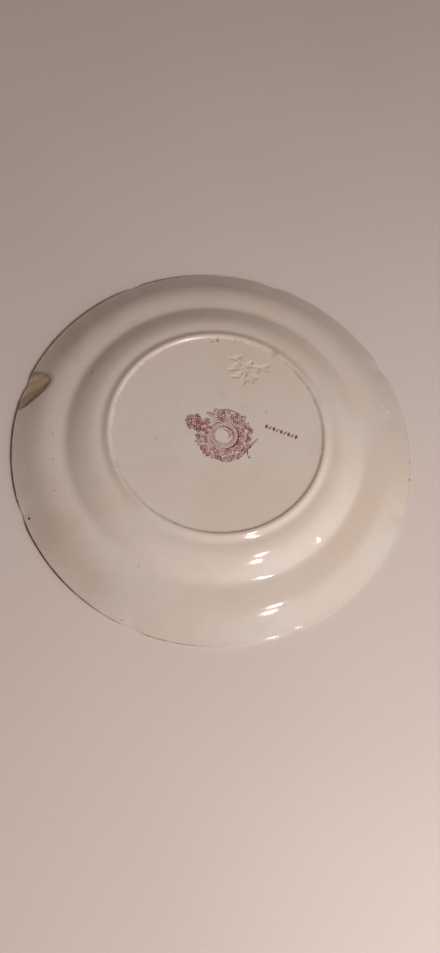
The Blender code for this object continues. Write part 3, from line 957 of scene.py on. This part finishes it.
def makeSpray():
    turn = radians(mark["sprayAngle"])
    hub, inner = ((mark["centre"][0] + reach * cos(turn), mark["centre"][1] + reach * sin(turn))
                  for reach in (mark["sprayReach"], mark["innerSprayReach"]))
    parts = [ring("flower", 0.0, 1, 5.4, centre=hub, sizeJitter=0, stack=0.0, seed=21),
             ring("leaf", 2.0, 9, 4.0, 0, 30, 12, centre=hub, seed=22),
             ring("filledFlower", 4.6, 4, 2.6, 0, 0, 40, 0.2, centre=hub, start=90, sweep=180, seed=23, pale=0.15),
             ring("curl", 3.2, 7, 3.0, 20, 60, 30, centre=hub, seed=24),
             ring("bud", 3.4, 9, 0.8, centre=hub, radiusJitter=1.8, sizeJitter=0.4, seed=25),
             ring("hair", 3.0, 26, 4.2, 30, 0, 60, centre=hub, radiusJitter=1.4, seed=20, pale=0.8),
             ring("leaf", 1.6, 9, 4.4, 0, 36, 10, centre=inner, seed=26, pale=0.1),
             ring("filledFlower", 2.8, 4, 2.6, 0, 0, 40, 0.2, centre=inner, seed=27, pale=0.3),
             ring("hair", 2.4, 26, 3.8, 30, 0, 60, centre=inner, radiusJitter=1.4, seed=29, pale=0.8),
             ring("curl", 2.8, 6, 2.8, 24, -48, 15, 0.3, 0.9, centre=inner, seed=28)]
    return makePrint("printedSpray", parts, onBase, 1, "backstamp_spray")


def makeFlourish():
    # a row of plain lozenges and leaves on a gentle line
    turn, length = radians(mark["flourishTurn"]), mark["flourishLength"]
    across = np.array((cos(turn), sin(turn)))
    parts = []
    for number in range(9):
        middle = np.array(mark["flourish"]) + across * length * (number / 8 - 0.5) * 0.93
        kind, size, lean = (("lozenge", 3.3, 90), ("filledLeaf", 3.5, 60))[number % 2]
        if number % 2:
            middle = middle - 1.7 * np.array((cos(turn + 1.05), sin(turn + 1.05)))
        parts.append(ring(kind, 0.0, 1, size, turn=mark["flourishTurn"] + lean, sizeJitter=0, centre=tuple(middle),
                          seed=30 + number))
    return makePrint("printedFlourish", parts, onBase, 1, "backstamp_flourish")


facePrint = {
    "borderRadius": 108.5,
    "borderHalfWidth": 7.6,
    "vergeRadius": 95.3,
    "centreRadius": 33.0,
    "centreHalfWidth": 9.6,
}


def makeFacePrints():
    border, borderHalf = facePrint["borderRadius"], facePrint["borderHalfWidth"]
    middle, middleHalf = facePrint["centreRadius"], facePrint["centreHalfWidth"]
    verge = facePrint["vergeRadius"]
    makePrint("faceBorder", [
        hoop(border, 0.7, waves=24, swing=3.6, steps=480),
        hoop(border + borderHalf, 0.5),
        hoop(border - borderHalf, 0.5),
        ring("filledLeaf", border + 1.6, 96, 6.0, 40, -80, 10, seed=51),
        ring("filledLeaf", border - 1.6, 96, 5.4, 140, 80, 10, seed=52),
        ring("filledFlower", border, 24, 7.2, 0, 0, 30, stack=0.05, seed=53),
        ring("bud", border, 24, 2.2, stack=0.08, seed=54),
    ], onFace, -1, "face_border_print")
    makePrint("faceVergeLine", [hoop(verge - 0.55, 0.35), hoop(verge + 0.35, 0.6)], onFace, -1, "face_verge_line")
    makePrint("faceCentre", [
        hoop(middle + middleHalf, 0.5),
        hoop(middle - middleHalf, 0.4),
        hoop(middle, 0.6, waves=12, swing=4.0, steps=300),
        ring("filledFlower", middle, 12, 9.0, 0, 0, 20, seed=61),
        ring("filledLeaf", middle + 2.5, 36, 6.2, 50, -100, 10, seed=62),
        ring("filledLeaf", middle - 2.5, 30, 5.6, 130, 100, 10, seed=63),
        ring("bud", middle, 12, 2.8, stack=0.06, seed=64),
    ], onFace, -1, "face_centre_print")


makeMedallion()
makeWreath()
makeSpray()
makeFlourish()
makeFacePrints()
for motif in motifs.values():
    bpy.data.objects.remove(motif)
print("china plate: prints")

for piece, node, slotName in ((clayBody, "earthenware_body", "clay"),
                              (undersideGlaze, "glaze_underside", "glaze"),
                              (faceGlaze, "glaze_face", "glaze")):
    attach(piece, "root")
    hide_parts(node)


# Camera, counter and light

view = {
    "place": (0.0080, -0.1807, 0.4179),
    "tilt": 21.0,
    "roll": 14.4,
    "lens": 27.05,
}
light = {
    "air": (1.0, 0.79, 0.68),
    "airStrength": 0.206,
    "airLean": 0.5,              # how much brighter the room is on one side
    "airSide": -65.0,            # degrees from +X
    "backdrop": (0.165, 0.135, 0.12),
    "window": (0.79, 0.96, 1.0),
    "windowPower": 13.6,
    "windowSize": (3.0, 1.35),
    "windowAway": 1.2,
    "windowSide": -25.0,
    "windowHeight": 28.0,        # degrees above level
    "lamp": (1.0, 0.76, 0.72),
    "lampAway": 0.85,
    # where each lamp is mirrored in the underside (angle, radius), its size and power
    "lamps": [(301.75, 80.0, (0.008, 0.0055), 2.15), (299.25, 83.0, (0.008, 0.0055), 2.15),
              (326.25, 89.5, (0.007, 0.006), 0.12)],
}
counterTone = srgb(219, 217, 212)


def makeCamera():
    camera = placed("camera", bpy.data.cameras.new("camera"))
    camera.data.sensor_width, camera.data.lens = 36.0, view["lens"]
    camera.data.clip_start = 0.01
    turn = Matrix.Rotation(radians(view["tilt"]), 4, "X") @ Matrix.Rotation(radians(view["roll"]), 4, "Z")
    camera.matrix_world = Matrix.Translation(view["place"]) @ turn
    bpy.context.scene.camera = camera


def makeCounter():
    material, tree, shader, inMm = newMaterial("paleCounter")
    speckle = ease(tree, cloudy(tree, inMm, 0.5, 4.0, 0.7), 0.3, 0.7)
    broad = cloudy(tree, inMm, 0.004, 2.0)
    tone = blend(tree, times(tree, speckle, 0.06), counterTone, srgb(150, 132, 118))
    tone = blend(tree, ease(tree, broad, 0.3, 0.8, 0.0, 0.12), tone, srgb(178, 168, 160))
    setInputs(tree, shader, {"Base Color": tone, "Roughness": 0.55})
    build = bmesh.new()
    bmesh.ops.create_grid(build, x_segments=1, y_segments=1, size=12.0)
    counter = placed("counter", built("counter", build))
    counter.data.materials.append(material)


def addLamp(name, place, target, size, power, colour, softEdge=False):
    lamp = bpy.data.lights.new(name, "AREA")
    lamp.shape, lamp.size, lamp.size_y = "RECTANGLE", *size
    lamp.energy, lamp.color = power, colour
    if softEdge:
        lamp.use_nodes = True
        tree = lamp.node_tree
        across = addNode(tree, "ShaderNodeNewGeometry").outputs["Parametric"]
        centred = vectorMaths(tree, "SUBTRACT", across, (0.5, 0.5, 0.0))
        reach = vectorMaths(tree, "LENGTH", vectorMaths(tree, "MULTIPLY", centred, (2.0, 2.0, 0.0)))
        setInput(tree, tree.nodes["Emission"].inputs["Strength"], ease(tree, reach, 0.25, 1.0, 1.0, 0.0))
    turn = (place - target).to_track_quat("Z", "Y").to_matrix().to_4x4()
    placed(name, lamp).matrix_world = Matrix.Translation(place) @ turn


def mirrored(angle, radius):
    # the direction from which a lamp is mirrored to the camera at this place on the underside
    turn, step = radians(angle), 0.2
    slope = float(undersideAt(radius + step) - undersideAt(radius - step)) / (2 * step)
    normal = Vector((-slope * cos(turn), -slope * sin(turn), 1.0)).normalized()
    spotHere = Vector(onPlate(angle, radius)) * mm
    toCamera = (Vector(view["place"]) - spotHere).normalized()
    return spotHere, (2 * normal.dot(toCamera) * normal - toCamera).normalized()


def makeLights():
    world = bpy.data.worlds.new("roomLight")
    world.use_nodes = True
    tree = world.node_tree
    side = radians(light["airSide"])
    lean = vectorMaths(tree, "DOT_PRODUCT", addNode(tree, "ShaderNodeTexCoord").outputs["Generated"],
                       (cos(side) * 0.94, sin(side) * 0.94, 0.34))
    level = maths(tree, "MULTIPLY_ADD", lean, light["airLean"] * light["airStrength"], light["airStrength"])
    setInputs(tree, tree.nodes["Background"], {"Color": (*light["air"], 1.0), "Strength": level})
    plain = addNode(tree, "ShaderNodeBackground", {"Color": (*light["backdrop"], 1.0)})
    seen = addNode(tree, "ShaderNodeLightPath").outputs["Is Camera Ray"]
    lit = tree.nodes["Background"].outputs[0]
    both = addNode(tree, "ShaderNodeMixShader", {0: seen, 1: lit, 2: plain.outputs[0]})
    setInput(tree, tree.nodes["World Output"].inputs["Surface"], both.outputs[0])
    bpy.context.scene.world = world
    side, up = radians(light["windowSide"]), radians(light["windowHeight"])
    away = Vector((cos(side) * cos(up), sin(side) * cos(up), sin(up)))
    addLamp("window", away * light["windowAway"], Vector((0, 0, 0)), light["windowSize"], light["windowPower"],
            light["window"], softEdge=True)
    for number, (angle, radius, size, power) in enumerate(light["lamps"]):
        start, toLamp = mirrored(angle, radius)
        addLamp("lamp%d" % number, start + toLamp * light["lampAway"], start, size, power, light["lamp"])


makeCamera()
makeCounter()
makeLights()
bpy.context.scene.view_settings.view_transform = "Standard"
print("china plate: camera and light")
